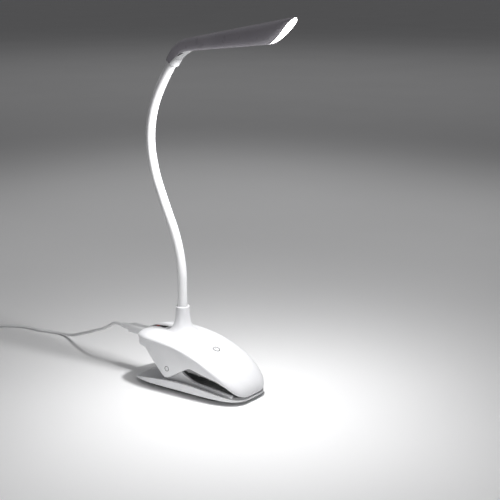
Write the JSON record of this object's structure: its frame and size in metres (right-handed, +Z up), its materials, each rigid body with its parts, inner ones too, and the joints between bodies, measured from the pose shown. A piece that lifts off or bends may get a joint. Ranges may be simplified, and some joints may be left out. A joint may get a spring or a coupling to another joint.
{
  "type": "clip on reading lamp",
  "caption": "Clip-on reading lamp: sprung mouse-shaped clip, S-shaped gooseneck and a tapered wand head with a lit, obliquely cut tip, charging cord plugged in.",
  "frame": {"origin": "centre of the underside of the rubber foot line, straight below the neck socket", "axes": "+Z up, +X towards the front of the clip and the lit tip of the head, Y=0 is the plane of symmetry of the lamp"},
  "size_m": [0.4325, 0.1071, 0.3436],
  "materials": {
    "white_gloss": "smooth, slightly glossy white",
    "white_satin": "satin white",
    "smoky_window": "smoky, polished",
    "grey_print": "printed grey",
    "brass_plate": "stamped",
    "pin_steel": "turned, bright",
    "screw_steel": "zinc plated",
    "dark_rubber": "matt, ribbed",
    "foot_rubber": "matt",
    "board": "green lacquer",
    "white_board": "white lacquer",
    "red_led": "clear red, lit",
    "cell_wrap": "shrink film",
    "spring_steel": "drawn wire",
    "silicone": "smooth white silicone",
    "core_steel": "drawn",
    "diffuser": "milky, lit",
    "led_chip": "phosphor",
    "heat_aluminium": "plain",
    "plug_plastic": "satin, light grey-white",
    "cord_jacket": "smooth white jacket"
  },
  "bodies": {
    "lower_jaw": {"lower_jaw": "white_satin", "lower_pad": "dark_rubber", "lip_strip": "dark_rubber", "foot_pad": "foot_rubber", "torsion_spring": "spring_steel", "usb_cord": "cord_jacket", "cord_coil": "cord_jacket", "far_plug_mould": "plug_plastic", "far_plug_metal": "pin_steel"},
    "upper_jaw": {"upper_shell": "white_gloss", "indicator_window": "smoky_window", "power_symbol": "grey_print", "touch_plate": "brass_plate", "clip_base": "white_satin", "hinge_pin": "pin_steel", "clip_screws": "screw_steel", "upper_pad": "dark_rubber", "circuit_board": "board", "usb_socket": "pin_steel", "charge_led": "red_led", "battery_cell": "cell_wrap", "neck_nut": "screw_steel", "base_sleeve": "silicone", "base_core": "core_steel", "plug_mould": "plug_plastic", "plug_metal": "pin_steel", "strain_relief": "plug_plastic"},
    "neck_link_1": {"neck_sleeve_1": "silicone", "neck_core_1": "core_steel"},
    "neck_link_2": {"neck_sleeve_2": "silicone", "neck_core_2": "core_steel"},
    "neck_link_3": {"neck_sleeve_3": "silicone", "neck_core_3": "core_steel"},
    "neck_link_4": {"neck_sleeve_4": "silicone", "neck_core_4": "core_steel"},
    "neck_link_5": {"neck_sleeve_5": "silicone", "neck_core_5": "core_steel"},
    "neck_link_6": {"neck_sleeve_6": "silicone", "neck_core_6": "core_steel"},
    "head": {"head_sleeve": "silicone", "head_core": "core_steel", "head_shell": "white_gloss", "elbow_cover": "white_satin", "diffuser": "diffuser", "led_board": "white_board", "leds": "led_chip", "heat_bar": "heat_aluminium", "head_clamp": "brass_plate"}
  },
  "joints": [
    {"name": "jaw_hinge", "type": "hinge", "parent": "lower_jaw", "child": "upper_jaw", "pos_m": [0.0045, 0, 0.0224], "axis": [0, -1, 0], "range_deg": [0, 24], "stiffness_Nm_per_rad": 1, "springref_deg": -28.65, "deforming": ["torsion_spring", "usb_cord"]},
    {"name": "neck_bend_1", "type": "hinge", "parent": "upper_jaw", "child": "neck_link_1", "pos_m": [0, 0, 0.0972], "axis": [0, 1, 0], "range_deg": [-22, 22]},
    {"name": "neck_sway_2", "type": "hinge", "parent": "neck_link_1", "child": "neck_link_2", "pos_m": [-0.00339, 0, 0.12694], "axis": [-0.9744, 0, -0.225], "range_deg": [-22, 22]},
    {"name": "neck_bend_3", "type": "hinge", "parent": "neck_link_2", "child": "neck_link_3", "pos_m": [-0.01314, 0, 0.15526], "axis": [0, 1, 0], "range_deg": [-22, 22]},
    {"name": "neck_bend_4", "type": "hinge", "parent": "neck_link_3", "child": "neck_link_4", "pos_m": [-0.02669, 0, 0.18643], "axis": [0, 1, 0], "range_deg": [-22, 22]},
    {"name": "neck_sway_5", "type": "hinge", "parent": "neck_link_4", "child": "neck_link_5", "pos_m": [-0.03469, 0, 0.21528], "axis": [-0.9877, 0, -0.1564], "range_deg": [-22, 22]},
    {"name": "neck_bend_6", "type": "hinge", "parent": "neck_link_5", "child": "neck_link_6", "pos_m": [-0.03443, 0, 0.24514], "axis": [0, 1, 0], "range_deg": [-22, 22]},
    {"name": "neck_bend_7", "type": "hinge", "parent": "neck_link_6", "child": "head", "pos_m": [-0.02471, 0, 0.27339], "axis": [0, 1, 0], "range_deg": [-22, 22]}
  ]
}
